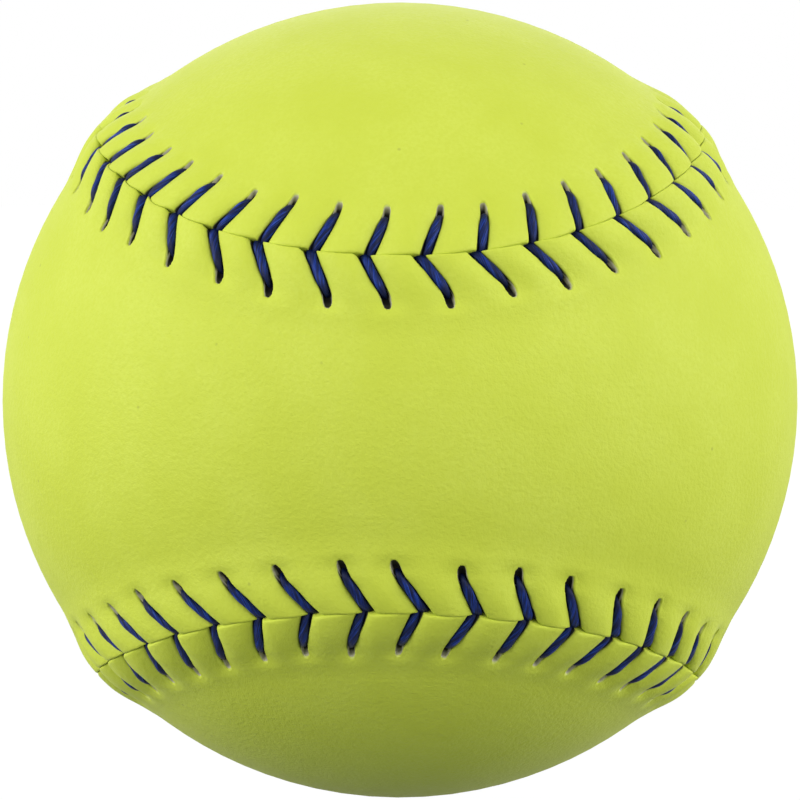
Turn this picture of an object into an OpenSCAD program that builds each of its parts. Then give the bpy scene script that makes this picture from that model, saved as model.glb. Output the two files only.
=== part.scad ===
// Twelve-inch slow-pitch softball, built the way the real one is sewn.
// A cast core is coated with cement. Two figure-eight cover panels are wrapped round it
// edge to edge, and two runs of waxed lacing join them with a herringbone stitch.
// The ball's centre is the origin. The waist of panel A faces -Y, and +Z is up.

/* [Ball] */
// Diameter over the plain of the cover, between the seams
ball_d = 97; // [92:0.5:102]
// Thickness of the cover panels
cover_t = 1.8; // [1.7:0.05:2.1]
// Thickness of the cured cement between core and cover
cement_t = 0.2; // [0.1:0.05:0.4]

/* [Seam line] */
// Lean of each lobe's tip circle from the pole towards the other panel's waist, in degrees
tip_lean = 23.2; // [21.5:0.1:25]
// Angular radius of the circle that rounds each lobe's tip, in degrees
tip_radius = 43.4; // [42:0.1:44.5]
// Half of the arc that the tip circle covers, in degrees
tip_half_arc = 51.4; // [46:0.2:56]

/* [Welt] */
// Height that the sewn edges stand above the plain of the cover
welt_h = 1.05; // [0.95:0.05:1.3]
// Distance from the seam to the foot of the welt
welt_w = 7.4; // [7:0.1:8.5]
// Depth of the valleys that the stitches pull into the welt
valley_h = 0.7; // [0.5:0.05:0.8]
// Height that the edge of a panel rolls down by where it meets the other panel
edge_roll = 0.35; // [0.2:0.05:0.5]
// Distance over which that edge is rolled
edge_roll_w = 1; // [0.9:0.05:1.3]
// Gap between the two panels along the closed parts of the seam
edge_gap = 0.06; // [0.04:0.01:0.12]

/* [Stitches] */
// Width of the waxed lacing, which the needles pull flat
lacing_w = 1.1; // [0.9:0.05:1.2]
// Thickness of the lacing
lacing_t = 0.85; // [0.7:0.05:0.95]
// Distance from the seam to the far end of a slot in panel A
reach_a = 6.3; // [5.9:0.05:6.4]
// Distance from the seam to the far end of a slot in panel B
reach_b = 5.95; // [5.6:0.05:6.1]
// Length of a stitch slot, away from the seam
slot_l = 2.1; // [1.8:0.05:2.3]
// Distance that a stitch leans along the seam, from the far end of its slot to the seam
stitch_lean = 2.3; // [2:0.1:3]
// Clearance round the lacing in its valleys, slots and channel
lacing_clear = 0.06; // [0.04:0.01:0.08]

/* [Hidden] */
$fn = 180;
A = 1;
B = -1;
LOBES = 4;
stitches_per_lobe = 22;
stitches = LOBES * stitches_per_lobe;

ball_r = ball_d / 2;
inner_r = ball_r - cover_t;
core_r = inner_r - cement_t;

// One lobe's outline is three circle arcs on the unit sphere, joined without a corner:
// a tip arc about tip_c, and a flatter arc on each side that ends at the lobe's corner.
// They are written for the upper lobe, whose tip points to -Y.
tip_c = [0, -sin(tip_lean), cos(tip_lean)];
tip_front = [0, -cos(tip_lean), -sin(tip_lean)];
corner = unit([1, 0, 1]);
tip_end = arc_point(tip_c, tip_front, tip_radius, tip_half_arc);
tip_end_in = (tip_c - cos(tip_radius) * tip_end) / sin(tip_radius);
side_radius = atan((1 - tip_end * corner) / (tip_end_in * corner));
side_c = cos(side_radius) * tip_end + sin(side_radius) * tip_end_in;
side_front = (tip_end - cos(side_radius) * side_c) / sin(side_radius);
side_arc = atan2(corner * cross(side_c, side_front), corner * side_front);

// Lengths along the seam on the unit sphere, and the stitch pitch on the ball
tip_half_l = sin(tip_radius) * tip_half_arc * PI / 180;
side_l = sin(side_radius) * side_arc * PI / 180;
half_lobe_l = tip_half_l + side_l;
pitch = 2 * half_lobe_l * ball_r / stitches_per_lobe;

// Point of a circle of angular radius r about c, at angle a from its front
function arc_point(c, front, r, a) =
    cos(r) * c + sin(r) * (cos(a) * front + sin(a) * cross(c, front));

// Direction straight away from c at that point
function arc_out(c, front, r, a) =
    -sin(r) * c + cos(r) * (cos(a) * front + sin(a) * cross(c, front));

// The seam repeats four times, by a quarter turn about Y with a flip
function turned(p, k) = k == 0 ? p : turned([p[2], -p[1], -p[0]], k - 1);
function mirrored_x(p, u) = u < 0 ? [-p[0], p[1], p[2]] : p;
function unit(v) = v / norm(v);

// [point, direction away from the lobe] at u, from -1 to 1 along the upper lobe
function lobe_at(u) =
    let (l = abs(u) * half_lobe_l,
         on_tip = l <= tip_half_l,
         c = on_tip ? tip_c : side_c,
         front = on_tip ? tip_front : side_front,
         r = on_tip ? tip_radius : side_radius,
         a = (on_tip ? l : l - tip_half_l) / sin(r) * 180 / PI)
    [mirrored_x(arc_point(c, front, r, a), u), mirrored_x(arc_out(c, front, r, a), u)];

// [point, direction into panel A] at t stitch pitches along the whole seam
function seam_at(t) =
    let (w = t - stitches * floor(t / stitches),
         k = floor(w / stitches_per_lobe),
         f = lobe_at((w - k * stitches_per_lobe) * 2 / stitches_per_lobe - 1))
    [turned(f[0], k), turned(f[1], k) * (k % 2 == 0 ? 1 : -1)];

// The point t pitches along the seam, d into the panel of that side, at radius r
function on_ball(t, d, r, side) =
    let (f = seam_at(t), a = d / ball_r * 180 / PI)
    r * (cos(a) * f[0] + side * sin(a) * f[1]);

// Places of a stitch, in pitches along the seam and in distances from it.
// The two runs go down side by side at each stitch, in one notch between the panels.
apex_at = 0.5;
// Each spreads on its way down, and crosses under the other panel clear of the other run.
// Half of the lacing's diagonal is the room that it needs to turn down at any slant.
turn_r = norm([lacing_w, lacing_t]) / 2;
notch_d = turn_r + lacing_clear;
crossing_slant = pitch / riser_d(A) - stitch_lean / reach_a;
top_split = (turn_r + lacing_clear / 2) / pitch;
low_split = (lacing_w / 2 + 2 * lacing_clear + notch_d * crossing_slant / 2) / pitch;

function reach(side) = side == A ? reach_a : reach_b;
function slot_start_d(side) = reach(side) - slot_l;
function riser_d(side) = slot_start_d(side) + notch_d;
function leg_at(d, side) =
    apex_at + stitch_lean / pitch * d / reach(side)
    - side * top_split * (1 - d / riser_d(side));
// Half of a leg's clear width, measured along the seam across its slant
function leg_slant(side) =
    stitch_lean / reach(side) + side * top_split * pitch / riser_d(side);
function leg_half(side) =
    (lacing_w / 2 + lacing_clear) * norm([1, leg_slant(side)]) / pitch;

// Outer surface: the crests between the stitches, and the valleys that the legs lie in,
// which run out from the start of the slot to the foot of the welt
function crest_r(d) = ball_r + welt_h * (1 - pow(d / welt_w, 2));
function valley_r(d, side) =
    crest_r(d) - valley_h * min((welt_w - d) / (welt_w - slot_start_d(side)), 1);

// The leg lies in the valley, from the far end of the edge's roll to the slot
function leg_r(d, side) =
    let (near = valley_r(edge_roll_w, side),
         far = valley_r(slot_start_d(side), side),
         share = (d - edge_roll_w) / (slot_start_d(side) - edge_roll_w))
    near + (far - near) * share + lacing_t / 2 + lacing_clear;

// The lacing crosses below the panels in a channel over the cement. Its straight crossing
// dips below a circle of its ends' radius, so it starts that much higher.
crossing_l = norm([pitch, riser_d(A)]);
crossing_dip = pow(crossing_l, 2) / (8 * inner_r);
low_r = inner_r + lacing_t / 2 + lacing_clear + crossing_dip;
channel_r = low_r + lacing_t / 2 + lacing_clear;

module core() {
    color([0.93, 0.9, 0.78]) sphere(r = core_r);
}

module cement_coat() {
    color([0.86, 0.72, 0.42]) difference() {
        sphere(r = inner_r);
        sphere(r = core_r);
    }
}

// The stitched band of a panel, from the seam to just past the foot of the welt.
// Its columns follow the lean of the stitches: both edges of each leg, then the crest.
// Its rows go round the section: edge, roll, slot start, slot end and foot along the
// top, then slot end, slot start and edge along the channel.
COLUMNS = 3;
ROWS = 8;
columns = stitches * COLUMNS;
TOP_EDGE = 0;
TOP_SLOT = 2;
FOOT = 4;
LOW_SLOT = 5;
LOW_EDGE = 7;
foot_lap = 0.8;
foot_d = welt_w + foot_lap;

function on_crest(c) = c % COLUMNS == 2;
function is_edge(row) = row == TOP_EDGE || row == LOW_EDGE;
function row_d(row, c, side) =
    is_edge(row) ? (on_crest(c) ? edge_gap / 2 : notch_d)
    : [0, edge_roll_w, slot_start_d(side), reach(side), foot_d,
       reach(side), slot_start_d(side)][row];
function row_r(row, c, side) =
    let (d = row_d(row, c, side))
    row > FOOT ? channel_r
    : row == FOOT ? crest_r(d)
    : !on_crest(c) ? valley_r(d, side)
    : crest_r(d) - (row == TOP_EDGE ? edge_roll : 0);
function row_at(row, c, side) =
    let (middle = is_edge(row) ? apex_at : leg_at(row_d(row, c, side), side),
         half = leg_half(side) + (is_edge(row) ? low_split : 0))
    floor(c / COLUMNS) + middle + [-half, half, 0.5][c % COLUMNS];

function band_point(row, c, side) =
    on_ball(row_at(row, c, side), row_d(row, c, side), row_r(row, c, side), side);
function cell(row, c) = [for (p = [[0, 0], [0, 1], [1, 1], [1, 0]])
    ((row + p[0]) % ROWS) * columns + (c + p[1]) % columns];
function is_slot(row, c) = c % COLUMNS == 0 && (row == TOP_SLOT || row == LOW_SLOT);

// The four walls of the slot in the column that starts at c
function slot_walls(c) =
    let (top = cell(TOP_SLOT, c), low = cell(LOW_SLOT, c),
         below = [low[3], low[2], low[1], low[0]])
    [for (k = [0 : 3]) [top[k], top[(k + 1) % 4], below[(k + 1) % 4], below[k]]];

function halved(quads) = [for (q = quads) for (k = [1, 2]) [q[0], q[k], q[k + 1]]];
function faced(triangles, side) = [for (f = triangles) side == A ? f : [f[2], f[1], f[0]]];

module band(side) {
    cells = [for (row = [0 : ROWS - 1]) for (c = [0 : columns - 1])
        if (!is_slot(row, c)) cell(row, c)];
    walls = [for (i = [0 : stitches - 1]) each slot_walls(i * COLUMNS)];
    polyhedron(
        points = [for (row = [0 : ROWS - 1]) for (c = [0 : columns - 1])
            band_point(row, c, side)],
        faces = faced(halved(concat(cells, walls)), side));
}

// A cone from the ball's centre that holds all of a panel beyond the channel.
// Rungs cross the panel from each point of its outline to the mirrored point.
RUNG_STEPS = 2;
rungs = stitches_per_lobe;
slot_wall = 0.7;
far_share = 1.8;
function rung_point(j, k, side) =
    let (first = side * -stitches_per_lobe / 2,
         along = stitches / 2 * j / rungs,
         d = reach(side) + slot_wall,
         p = on_ball(first + along, d, ball_r, side),
         q = on_ball(first - along, d, ball_r, side))
    ball_r * far_share * unit(p + (q - p) * k / RUNG_STEPS);

module panel_cone(side) {
    tips = [rung_point(0, 0, side), rung_point(rungs, 0, side)];
    points = concat([[0, 0, 0]], tips,
        [for (j = [1 : rungs - 1]) for (k = [0 : RUNG_STEPS]) rung_point(j, k, side)]);
    function id(j, k) = j == 0 ? 1 : j == rungs ? 2
        : 3 + (j - 1) * (RUNG_STEPS + 1) + k;
    cap = [for (j = [0 : rungs - 1]) for (k = [0 : RUNG_STEPS - 1])
        each [[id(j, k), id(j + 1, k), id(j + 1, k + 1)],
              [id(j, k), id(j + 1, k + 1), id(j, k + 1)]]];
    flanks = [for (j = [0 : rungs - 1])
        each [[0, id(j + 1, 0), id(j, 0)],
              [0, id(j, RUNG_STEPS), id(j + 1, RUNG_STEPS)]]];
    polyhedron(
        points = points,
        faces = faced([for (f = concat(cap, flanks))
            if (f[0] != f[1] && f[1] != f[2] && f[2] != f[0]) f], side));
}

module cover_panel(side) {
    union() {
        intersection() {
            difference() {
                sphere(r = ball_r);
                sphere(r = inner_r);
            }
            panel_cone(side);
        }
        band(side);
    }
}

module cover_panel_a() {
    color([0.83, 0.9, 0.3]) cover_panel(A);
}

module cover_panel_b() {
    color([0.83, 0.9, 0.3]) cover_panel(B);
}

// The side of the seam that a run's leg lies on at stitch i: the runs take turns
function leg_side(i, run) = (i + run) % 2 == 0 ? A : B;

// One stitch: up through the slot, back over the cover to the seam and down between the
// panels. From there the lacing crosses below the other panel to the next stitch's slot.
function stitch_points(i, side) =
    let (d = riser_d(side),
         up = i + leg_at(d, side))
    [on_ball(up, d, low_r, side),
     on_ball(up, d, leg_r(d, side), side),
     on_ball(i + leg_at(0, side), 0, leg_r(0, side), side),
     on_ball(i + apex_at - side * low_split, 0, low_r, side)];

// The bends of one stitch, as [point, direction across the flat of the lacing]
function stitch_bends(i, side) =
    let (points = stitch_points(i, side),
         leg = points[2] - points[1])
    [for (p = points) [p, -side * unit(cross(p, leg))]];

// Flat section of the lacing at bend j, mitred to the lengths on both sides of it
function section(bends, j) =
    let (n = len(bends),
         p = bends[j][0],
         across = bends[j][1],
         come = unit(p - bends[(j + n - 1) % n][0]),
         go = unit(bends[(j + 1) % n][0] - p),
         along = come + go,
         over = unit(cross(across, along)) * 2 / norm(along))
    [for (s = [[1, 1], [-1, 1], [-1, -1], [1, -1]])
        p + s[0] * lacing_w / 2 * across + s[1] * lacing_t / 2 * over];

// A run goes round the ball against the count of the stitches
module lacing_run(run) {
    bends = [for (i = [stitches - 1 : -1 : 0]) each stitch_bends(i, leg_side(i, run))];
    sections = [for (j = [0 : len(bends) - 1]) section(bends, j)];
    sides = len(sections[0]);
    function id(j, k) = j % len(sections) * sides + k % sides;
    quads = [for (j = [0 : len(sections) - 1]) for (k = [0 : sides - 1])
        [id(j, k), id(j, k + 1), id(j + 1, k + 1), id(j + 1, k)]];
    polyhedron(
        points = [for (s = sections) each s],
        faces = halved(quads));
}

module lacing_run_one() {
    color([0.13, 0.17, 0.6]) lacing_run(0);
}

module lacing_run_two() {
    color([0.13, 0.17, 0.6]) lacing_run(1);
}

core();
cement_coat();
cover_panel_a();
cover_panel_b();
lacing_run_one();
lacing_run_two();
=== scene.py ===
"""Twelve-inch softball with a raised herringbone seam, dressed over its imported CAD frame."""

import math

import bpy
import numpy as np
from bpy.props import FloatProperty, FloatVectorProperty, IntProperty, PointerProperty
from mathutils import Matrix, Vector


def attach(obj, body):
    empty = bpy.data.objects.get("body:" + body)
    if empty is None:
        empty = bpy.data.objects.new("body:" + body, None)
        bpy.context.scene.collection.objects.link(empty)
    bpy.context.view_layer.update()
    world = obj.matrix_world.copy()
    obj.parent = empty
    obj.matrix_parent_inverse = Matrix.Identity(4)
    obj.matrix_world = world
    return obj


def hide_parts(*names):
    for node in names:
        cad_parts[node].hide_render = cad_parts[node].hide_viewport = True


bl_info = {
    "name": "Laced softball",
    "version": (1, 0, 0),
    "blender": (4, 5, 0),
    "location": "View3D > Sidebar > Softball",
    "description": "Builds a softball's cover panels, its lacing, its inner parts and a stage",
    "category": "Object",
}

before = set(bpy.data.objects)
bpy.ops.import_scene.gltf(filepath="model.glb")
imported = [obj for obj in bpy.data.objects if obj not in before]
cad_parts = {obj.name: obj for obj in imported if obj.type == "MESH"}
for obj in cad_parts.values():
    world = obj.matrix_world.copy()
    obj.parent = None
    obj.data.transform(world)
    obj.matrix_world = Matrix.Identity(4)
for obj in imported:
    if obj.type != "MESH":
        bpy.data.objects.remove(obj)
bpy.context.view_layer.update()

MM = 0.001
BODY = "root"

# The seam has four like lobes of 22 stitches. Panel A's waist faces -Y.
LOBES = 4
STITCHES_PER_LOBE = 22
STITCHES = LOBES * STITCHES_PER_LOBE
PANEL_A = 1
PANEL_B = -1
SIDES = (PANEL_A, PANEL_B)
APEX_AT = 0.5


# ---------------- sizes and colours


def metres(name, description, value, **limits):
    """A length, which the scene stores in metres."""
    return FloatProperty(name=name, description=description, default=value,
                         subtype="DISTANCE", unit="LENGTH", **limits)


def degrees(name, description, value):
    """An angle, given here in degrees."""
    return FloatProperty(name=name, description=description, default=math.radians(value),
                         subtype="ANGLE", unit="ROTATION")


def rgb(name, description, value):
    """A colour in linear light."""
    return FloatVectorProperty(name=name, description=description, default=value,
                               size=3, min=0, max=1, subtype="COLOR")


class SeamSizes(bpy.types.PropertyGroup):
    """Where the seam runs on the ball."""

    ball_d: metres(
        "Ball diameter", "Diameter over the plain of the cover, between the seams",
        97 * MM, min=0.05, max=0.2)
    tip_lean: degrees(
        "Tip lean", "Lean of each lobe's tip circle from the pole towards the other waist",
        23.2)
    tip_radius: degrees(
        "Tip radius", "Angular radius of the circle that rounds each lobe's tip", 43.4)
    tip_half_arc: degrees("Tip half arc", "Half of the arc that the tip circle covers", 51.4)


class CoverSizes(bpy.types.PropertyGroup):
    """Section, stitch slots and colours of the two cover panels."""

    cover_t: metres("Cover thickness", "Thickness of a cover panel", 1.8 * MM)
    channel_h: metres(
        "Channel height",
        "Height of the lacing's channel between the core and a panel's edge", 1.13 * MM)
    welt_h: metres(
        "Welt height", "Height that the sewn edges stand above the plain of the cover",
        1.05 * MM)
    welt_w: metres("Welt width", "Distance from the seam to the foot of the welt", 8.8 * MM)
    bed_depth: metres("Bed depth", "Depth that a stitch is sunk into the welt", 1.25 * MM)
    puff: metres(
        "Puff", "Height that the leather swells by between two stitches", 0.45 * MM)
    roll_h: metres(
        "Edge roll height", "Height that a panel's edge rolls down by at the seam",
        0.2 * MM)
    roll_w: metres("Edge roll width", "Distance over which that edge is rolled", 0.38 * MM)
    slot_w: metres("Slot width", "Width of a stitch slot", 0.86 * MM)
    slot_l: metres("Slot length", "Length of a stitch slot, away from the seam", 2.5 * MM)
    edge_wave: metres(
        "Edge wave", "Distance that the seam wanders sideways between two stitches",
        0.26 * MM)
    leather_colour: rgb(
        "Leather colour", "Optic yellow of the cover", (0.62, 0.715, 0.064))
    backing_colour: rgb(
        "Backing colour", "Grey-beige cut edge of the leather in the slots",
        (0.53, 0.51, 0.37))
    seed: IntProperty(
        name="Seed", description="Seed of the small differences between the stitches",
        default=12)


class LacingSizes(bpy.types.PropertyGroup):
    """Sizes and colours of the waxed lacing."""

    width: metres("Lacing width", "Width of the lacing where a stitch lies flat", 1.06 * MM)
    thickness: metres(
        "Lacing thickness", "Thickness of the lacing where it lies flat", 0.92 * MM)
    reach_a: metres(
        "Reach in panel A", "Distance from the seam to the far end of a slot in panel A",
        5.98 * MM)
    reach_b: metres(
        "Reach in panel B", "Distance from the seam to the far end of a slot in panel B",
        6.5 * MM)
    lean_a: metres(
        "Lean in panel A",
        "Distance along the seam from a stitch's apex to its slot's far end", 2.55 * MM)
    lean_b: metres(
        "Lean in panel B",
        "Distance along the seam from a stitch's apex to its slot's far end", 2.3 * MM)
    head_split: metres(
        "Head split", "Distance of each leg's head from the apex, along the seam",
        0.34 * MM)
    turn_l: metres(
        "Twist length", "Length of lacing in which its plies turn once", 8.3 * MM)
    ply_depth: FloatProperty(
        name="Ply groove",
        description="Depth of the grooves between the plies, as a share of the section",
        default=0.09, min=0, max=0.4, subtype="FACTOR")
    plies: IntProperty(
        name="Plies", description="Plies that are twisted into the lacing", default=3)
    sides: IntProperty(
        name="Section points", description="Points round the lacing's section",
        default=24, min=8, max=32)
    # The lacing's blue comes as a lit copy and a shaded copy; the shaded one is also the
    # painted shade in its grooves and at a stitch's ends
    lit_colour: rgb(
        "Lacing colour", "Royal blue of the lacing's fibres", (0.01, 0.046, 0.34))
    dark_colour: rgb(
        "Lacing shade", "Navy between the lacing's fibres", (0.001, 0.004, 0.03))


class StageSizes(bpy.types.PropertyGroup):
    """Camera, lights and floor."""

    camera_distance: metres(
        "Camera distance", "Distance from the camera to the ball's centre", 388 * MM)
    lens: FloatProperty(
        name="Lens", description="Focal length in millimetres, on a 36 mm sensor",
        default=142.0, unit="CAMERA")
    floor_size: metres("Floor size", "Side of the square floor", 6.0)
    lamp_power: FloatProperty(
        name="Lamp power", description="Radiant power of the strongest soft box",
        default=6.4, subtype="POWER", unit="POWER")
    sky_level: FloatProperty(
        name="Surroundings", description="Strength of the light from the studio's walls",
        default=0.3, min=0, max=1, subtype="FACTOR")


# ---------------- seam geometry


def ease(x):
    """Smooth step from 0 to 1."""
    x = np.clip(x, 0, 1)
    return x * x * (3 - 2 * x)


def rise(x, start, size):
    """0 up to start, and 1 from start + size on."""
    return ease((x - start) / size)


def fall(x, start, size):
    """1 up to start, and 0 from start + size on."""
    return 1 - rise(x, start, size)


def wall(x, half, soft):
    """1 within half of the middle, and 0 beyond half + soft."""
    return fall(np.abs(x), half, soft)


def unit(v):
    return v / np.linalg.norm(v, axis=-1, keepdims=True)


def new_object(name, data):
    """An object in the open scene."""
    made = bpy.data.objects.new(name, data)
    bpy.context.scene.collection.objects.link(made)
    return made


def store(mesh, key, values):
    """Keeps a number or a vector for each vertex."""
    kind, field = ("FLOAT_VECTOR", "vector") if values.ndim == 2 else ("FLOAT", "value")
    mesh.attributes.new(key, kind, "POINT").data.foreach_set(
        field, values.astype(np.float32).ravel())


class SeamLine:
    """The line where the panels meet: arcs of circles, counted in stitches."""

    def __init__(self, sizes):
        self.ball_r = sizes.ball_d / 2
        lean = sizes.tip_lean
        tip_c = np.array([0, -math.sin(lean), math.cos(lean)])
        tip_front = np.array([0, -math.cos(lean), -math.sin(lean)])
        corner = np.array([1, 0, 1]) / math.sqrt(2)
        tip_r = sizes.tip_radius
        end = self.on_circle(tip_c, tip_front, tip_r, sizes.tip_half_arc)[0]
        inward = (tip_c - math.cos(tip_r) * end) / math.sin(tip_r)
        side_r = math.atan((1 - end @ corner) / (inward @ corner))
        side_c = math.cos(side_r) * end + math.sin(side_r) * inward
        side_front = (end - math.cos(side_r) * side_c) / math.sin(side_r)
        side_arc = math.atan2(corner @ np.cross(side_c, side_front), corner @ side_front)
        self.arcs = ((tip_c, tip_front, tip_r), (side_c, side_front, side_r))
        self.tip_l = math.sin(tip_r) * sizes.tip_half_arc
        self.half_l = self.tip_l + math.sin(side_r) * side_arc
        self.pitch = 2 * self.half_l * self.ball_r / STITCHES_PER_LOBE

    @staticmethod
    def on_circle(centre, front, r, angle):
        """Points of a circle about centre, and the directions away from it."""
        a = np.asarray(angle)[..., None]
        rim = np.cos(a) * front + np.sin(a) * np.cross(centre, front)
        return (math.cos(r) * centre + math.sin(r) * rim,
                -math.sin(r) * centre + math.cos(r) * rim)

    def at(self, t):
        """Points of the seam on a unit ball, and the directions into panel A."""
        w = np.mod(t, STITCHES)
        lobe = np.floor(w / STITCHES_PER_LOBE).astype(int)
        u = (w - lobe * STITCHES_PER_LOBE) * 2 / STITCHES_PER_LOBE - 1
        length = np.abs(u) * self.half_l
        tip, side = self.arcs
        near = self.on_circle(*tip, length / math.sin(tip[2]))
        far = self.on_circle(*side, (length - self.tip_l) / math.sin(side[2]))
        on_tip = (length <= self.tip_l)[..., None]
        found = []
        for a, b in zip(near, far):
            p = np.where(on_tip, a, b)
            p[..., 0] *= np.where(u < 0, -1, 1)
            for k in range(1, LOBES):
                turned = np.stack([p[..., 2], -p[..., 1], -p[..., 0]], axis=-1)
                p = np.where((lobe >= k)[..., None], turned, p)
            found.append(p)
        found[1] = found[1] * np.where(lobe % 2 == 0, 1, -1)[..., None]
        return found

    def on_ball(self, t, d, r):
        """Points t stitches along the seam, d into panel A (or -d into B), at radius r."""
        p, n = self.at(t)
        a = (np.asarray(d) / self.ball_r)[..., None]
        return np.asarray(r)[..., None] * (np.cos(a) * p + np.sin(a) * n)


# Standard deviation of each difference between the stitches of a panel
SPREAD = {"reach": 0.2 * MM, "lean": 0.26 * MM, "head": 0.07 * MM, "bow": 0.08 * MM,
          "wide": 0.035}
# Standard deviation and limit of the seam's wave and of the leather's swell, as shares
WAVE_SPREAD = (0.4, 0.9)
PILLOW_SPREAD = (0.05, 0.1)
# Shape of the seam's wave between two stitches: its power and how far down it starts
WAVE_POWER = 1.5
WAVE_BASE = 0.4
# Half of the gap between the panels where the seam is closed
CLOSED_GAP = 0.015 * MM
# Where each panel's edge opens for the stitch's two heads, along the seam from the apex:
# start and end of the rise, start and end of the fall, and depth
NOTCH_AT = {
    PANEL_A: (-1.45 * MM, -0.95 * MM, -0.2 * MM, 0.2 * MM, 0.26 * MM),
    PANEL_B: (-0.1 * MM, 0.3 * MM, 0.6 * MM, 1.1 * MM, 0.2 * MM),
}
# Distance that a leg bows sideways, away from the panel's own seam edge
LEG_BOW = 0.05 * MM
# A leg is straight to its slot, which is cut square to the seam. The slot starts at this
# share of the leg's reach, and the turn takes this share of the way there.
SLOT_FROM = 0.82
TURN_SHARE = 0.22
# The stitched band of a panel ends here, where its columns pair up across the panel
FOOT_D = 10 * MM
# Power that rounds the welt's section
WELT_POWER = 1.5
# Share that a stitch's bed comes up by towards its slot, and where it does
BED_RISE = 0.3
BED_RISE_AT = (2 * MM, 2.5 * MM)


class Stitches:
    """The places of all the stitches, each a little different from the next.

    Most of it is kept for each panel in turn, under PANEL_A or PANEL_B.
    """

    def __init__(self, seam, cover, lacing):
        self.seam = seam
        self.cover = cover
        rng = np.random.default_rng(cover.seed)

        def drawn(size, limit):
            return np.clip(rng.normal(0, size, STITCHES), -limit, limit)

        off = {key: {s: drawn(size, 2 * size) for s in SIDES} for key, size in SPREAD.items()}
        reach = {PANEL_A: lacing.reach_a, PANEL_B: lacing.reach_b}
        lean = {PANEL_A: lacing.lean_a, PANEL_B: lacing.lean_b}
        self.reach = {s: reach[s] + off["reach"][s] for s in SIDES}
        self.lean = {s: lean[s] + off["lean"][s] for s in SIDES}
        self.head = {s: -s * lacing.head_split + off["head"][s] for s in SIDES}
        self.bow = off["bow"]
        self.wide = {s: 1 + off["wide"][s] for s in SIDES}
        self.wave = cover.edge_wave * (1 + drawn(*WAVE_SPREAD))
        self.pillow = 1 + drawn(*PILLOW_SPREAD)

    def leg(self, i, d, side):
        """Distance along the seam from the apex of stitch i to its leg, d into the panel."""
        i = np.mod(i, STITCHES)
        reach, lean = self.reach[side][i], self.lean[side][i]
        head, bow = self.head[side][i], self.bow[side][i]
        share = d / reach
        way = share / SLOT_FROM
        turned = 1 - TURN_SHARE * np.exp(np.minimum(0, (1 - TURN_SHARE - way) / TURN_SHARE))
        straight = head + (lean - head) * np.where(way < 1 - TURN_SHARE, way, turned)
        bowed = straight + (side * LEG_BOW + bow) * np.sin(np.pi * np.clip(share, 0, 1))
        far = rise(d, reach, FOOT_D - reach)
        return bowed * (1 - far) + self.seam.pitch / 2 * far

    def slant(self, side):
        """Cosine of each leg's lean, which narrows distances taken along the seam."""
        run = self.lean[side] - self.head[side]
        return self.reach[side] / np.hypot(run, self.reach[side])

    def edge(self, t):
        """Signed place of the seam's wandering edge line at t."""
        i = np.floor(t - APEX_AT).astype(int)
        share = t - APEX_AT - i
        wave = self.wave[np.mod(i, STITCHES)]
        return wave * (np.sin(np.pi * share) ** WAVE_POWER - WAVE_BASE)

    def opening(self, t, side):
        """Distance of a panel's edge from the seam line at t: a notch at each stitch."""
        start, full, end, shut, depth = NOTCH_AT[side]
        u = (np.mod(t, 1) - APEX_AT) * self.seam.pitch
        notch = rise(u, start, full - start) * ease((shut - u) / (shut - end))
        return CLOSED_GAP + depth * notch

    def welt(self, d):
        """Height of the welt between the stitches."""
        x = np.clip(d / self.cover.welt_w, 0, 1)
        return self.cover.welt_h * (1 - x * x) ** WELT_POWER

    def bed_depth(self, d):
        """Depth of a stitch's bed, which comes up towards its slot."""
        return self.cover.bed_depth * (1 - BED_RISE * rise(d, *BED_RISE_AT))


# ---------------- cover panels

# Columns of the band, by their distance from a leg's middle, up to half way to the next
COLUMN_AT = np.array([0, 0.14, 0.28, 0.4, 0.5, 0.61, 0.74, 0.93, 1.2, 1.55, 1.98, 2.48]) * MM
COLUMNS = 2 * len(COLUMN_AT)
# Rows of the band, by their distance from the panel's edge
ROW_AT = np.array([
    0, 0.03, 0.07, 0.13, 0.2, 0.3, 0.6, 0.95, 1.35, 1.8, 2.25, 2.7, 3.1, 3.45, 3.75,
    4.0, 4.22, 4.42, 4.6, 4.78, 4.96, 5.14, 5.32, 5.5, 5.68, 5.86, 6.04, 6.22, 6.42,
    6.65, 6.95, 7.4, 8.2, 9.2]) * MM
# Rows down the edge of the panel, as shares of its thickness there
WALL_AT = (0, 0.35, 0.7)
# Rows of the underside, as (distance from the seam, whether it is in the channel)
UNDER_AT = ((6.0 * MM, True), (7.6 * MM, True), (8.4 * MM, False))
# The plain of a panel takes every fourth column of its band, and is crossed by rungs of
# this many quads
COARSE = 4
RUNG_STEPS = 20

# What follows shapes a panel's surface. A pair is where a smooth step starts and the
# distance that it takes. It counts from the seam or the panel's edge, or from the slot's
# far end: inwards for a name in _IN, and outwards for one in _OUT.
# The wandering edge dies out into the panel
EDGE_RUN = (0, 3 * MM)
# Share of the way to the next leg over which a column passes from one leg to the next
COLUMN_RUN = (0.2, 0.6)
# The leather's swell: where it runs out, its power, and its share that is below the welt
PUFF_RUN = (2 * MM, 4.5 * MM)
PUFF_POWER = 0.6
PUFF_BASE = 0.3
# The soft dip round a stitch: its share of the bed's depth, its width, where it runs out
SOFT_SHARE = 0.58
SOFT_W = 1.5 * MM
SOFT_OUT = (-1.2 * MM, 2.2 * MM)
# How much narrower it is outside the chevron near the seam, where the leather stands up
# beside the head
SOFT_STEEPER = 0.72 * MM
STEEP_RUN = (1 * MM, 3 * MM)
# The bed itself: half of its floor, how much that narrows by the slot, and its walls
BED_HALF = 0.43 * MM
BED_NARROWER = 0.12 * MM
BED_NARROW_OUT = (-3.6 * MM, 1.8 * MM)
BED_WALL = 0.28 * MM
BED_OUT = (-1.9 * MM, 1.2 * MM)
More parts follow.
